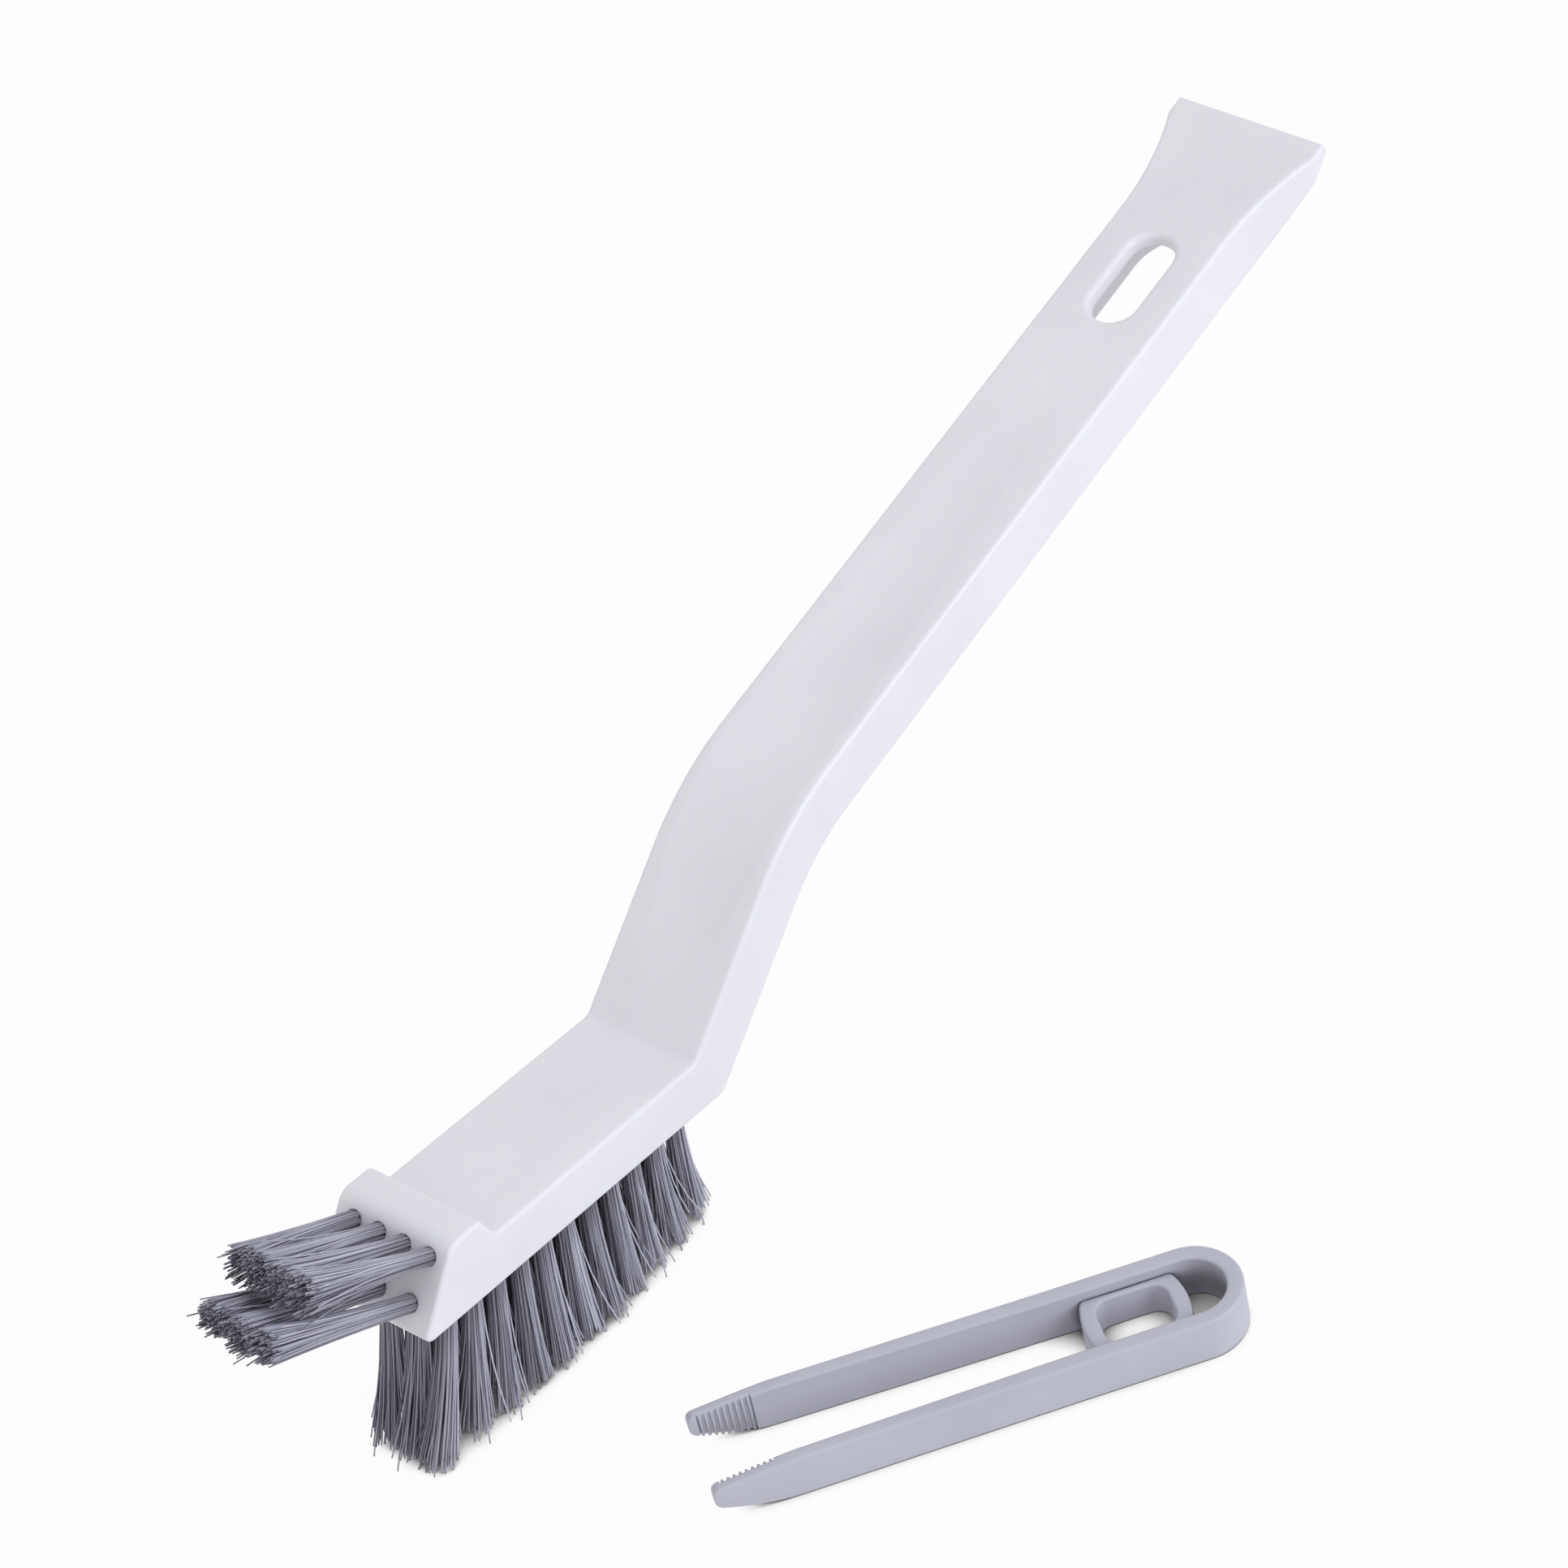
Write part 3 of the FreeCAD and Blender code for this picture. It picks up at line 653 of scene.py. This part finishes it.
for side, label in ((1, "left"), (-1, "right")):
    mesh = bmesh.new()
    places = [(SEAM + (PAD_END - SEAM) * i / ARM_STEPS, 0.0) for i in range(ARM_STEPS + 1)]
    places += [(PAD_END + (PAD_START - PAD_END) * i / ARM_STEPS, RIB_DEPTH) for i in range(ARM_STEPS + 1)]
    places += [(PAD_START * (1 - i / TIP_STEPS), 0.0) for i in range(TIP_STEPS)]
    stations = []
    for along, sunk in places:
        line, thick, middle, height = arm_section(along, sunk)
        stations.append((along, side * line, middle, (0, side), rounded_section(thick, height, EDGE)))
    line, thick, middle, height = arm_section(0, 0.0)
    for share in TIP_CAP_SHARES:
        inset = EDGE * (TIP_CAP_SHARES[-1] - share) * TIP_CAP_DEPTH
        stations.append((inset, side * line, middle, (0, side),
                         rounded_section(thick - share * EDGE, height - share * EDGE, EDGE * (1 - share))))
    swept(mesh, stations)
    arm = clip_piece("clip_arm_%s_moulding" % label, mesh)
    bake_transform(arm)
    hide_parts("clip_arm_" + label)

    tip_floor = on_clip(0, side * (arm_line + ARM_SPREAD - TIP_THICKNESS / 2 + RIB_DEPTH), 0)
    root_floor = on_clip(HINGE_ALONG, side * (arm_line - ARM / 2 + RIB_DEPTH), 0)
    way = (root_floor - tip_floor).normalized()
    ribs = bpy.data.objects.new("clip_ribs_" + label, bpy.data.meshes.new("clip_ribs_" + label))
    scene.collection.objects.link(ribs)
    settled(ribs, tip_ribs, {
        "Count": RIB_COUNT, "Spacing": RIB_SPACING, "First": PAD_START + RIB_SPACING / 2, "Width": RIB_WIDTH,
        "Depth": 2 * RIB_DEPTH, "Height": CLIP_HEIGHT, "Inset": EDGE / 2, "Taper": TAPER, "Top taper": TOP_TAPER,
        "Top curve": TOP_CURVE, "Bottom taper": BOTTOM_TAPER, "Bottom curve": BOTTOM_CURVE})
    turn = Matrix((way, Vector((-way.y, way.x, 0)), Vector((0, 0, 1)))).transposed().to_4x4()
    ribs.data.transform(Matrix.Translation(tip_floor) @ turn)
    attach(ribs, label + "_arm")

# Table and studio
# A wide white table top and even soft light from all round, with a broad lamp at the near side.
# What the camera sees of the table is nearly pure white, with painted shadow where the object closes in around
# it; the object's shadow stays faintly on it.
# Seen from below, the table is clear, so that the underside can be looked at.


def seen_white(tree, lit, white, share):
    """Mixes a lit shader with a white one for the rays that show the background."""
    paths = tree.nodes.new("ShaderNodeLightPath").outputs
    seen = number(tree, "MAXIMUM", paths["Is Camera Ray"],
                  number(tree, "MAXIMUM", paths["Is Glossy Ray"], paths["Is Transmission Ray"]))
    mix = tree.nodes.new("ShaderNodeMixShader")
    tree.links.new(number(tree, "MULTIPLY", seen, share), mix.inputs["Fac"])
    tree.links.new(lit, mix.inputs[1])
    tree.links.new(white, mix.inputs[2])
    return mix.outputs["Shader"]


bpy.ops.mesh.primitive_plane_add(size=8.0, location=(0, 0, 0))
table = bpy.context.object
table.name = "table"
table_white = bpy.data.materials.new("table_white")
table_white.use_nodes = True
nodes = table_white.node_tree.nodes
links = table_white.node_tree.links
shader = nodes["Principled BSDF"]
shader.inputs["Base Color"].default_value = (0.78, 0.78, 0.78, 1)
shader.inputs["Roughness"].default_value = 0.9
glow = nodes.new("ShaderNodeEmission")
# Painted shadow: the white the camera sees is dimmed where the object closes in around the table, in the clip's
# pockets and among the bristles.
shade = nodes.new("ShaderNodeAmbientOcclusion")
shade.samples = 12
shade.inputs["Distance"].default_value = 6.0 * MM
painted_table_shadow = nodes.new("ShaderNodeMapRange")
painted_table_shadow.inputs["From Min"].default_value = 0.28
painted_table_shadow.inputs["From Max"].default_value = 0.55
painted_table_shadow.inputs["To Min"].default_value = 0.03
links.new(shade.outputs["AO"], painted_table_shadow.inputs["Value"])
links.new(painted_table_shadow.outputs["Result"], glow.inputs["Strength"])
mixed = seen_white(table_white.node_tree, shader.outputs["BSDF"], glow.outputs["Emission"], 0.96)
one_way = nodes.new("ShaderNodeMixShader")
links.new(nodes.new("ShaderNodeNewGeometry").outputs["Backfacing"], one_way.inputs["Fac"])
links.new(mixed, one_way.inputs[1])
links.new(nodes.new("ShaderNodeBsdfTransparent").outputs["BSDF"], one_way.inputs[2])
links.new(one_way.outputs["Shader"], nodes["Material Output"].inputs["Surface"])
table.data.materials.append(table_white)

world = bpy.data.worlds.new("studio")
scene.world = world
world.use_nodes = True
nodes = world.node_tree.nodes
sky = nodes["Background"]
sky.inputs["Color"].default_value = (0.95, 0.955, 1.0, 1)
sky.inputs["Strength"].default_value = 0.71
white = nodes.new("ShaderNodeBackground")
white.inputs["Color"].default_value = (1, 1, 1, 1)
mixed = seen_white(world.node_tree, sky.outputs["Background"], white.outputs["Background"], 1.0)
world.node_tree.links.new(mixed, nodes["World Output"].inputs["Surface"])


def soft_lamp(name, place, target, size, watts, colour):
    """Square soft box that faces a point."""
    lamp = bpy.data.lights.new(name, "AREA")
    lamp.shape = "SQUARE"
    lamp.size = size
    lamp.energy = watts
    lamp.color = colour
    stand = bpy.data.objects.new(name, lamp)
    stand.location = place
    stand.rotation_euler = (Vector(target) - Vector(place)).to_track_quat("-Z", "Y").to_euler()
    scene.collection.objects.link(stand)


soft_lamp("near_box", (0.15, -0.9, 0.45), (0, 0.03, 0.03), 0.6, 4.2, (0.92, 0.92, 1.0))
soft_lamp("front_box", (-0.7, -0.1, 0.75), (0, 0.03, 0.03), 0.6, 0.3, (1.0, 0.99, 0.98))

# Camera
# A long lens above the nose, turned to the photograph's view.
lens = bpy.data.cameras.new("camera")
lens.sensor_width = 36.0
lens.lens = 139.75
lens.clip_start = 0.01
camera = bpy.data.objects.new("camera", lens)
camera.location = (-0.38940, -0.38201, 0.57179)
camera.rotation_euler = [math.radians(a) for a in (46.3150, 9.4488, -51.9361)]
scene.collection.objects.link(camera)
scene.camera = camera
scene.view_settings.view_transform = "Standard"
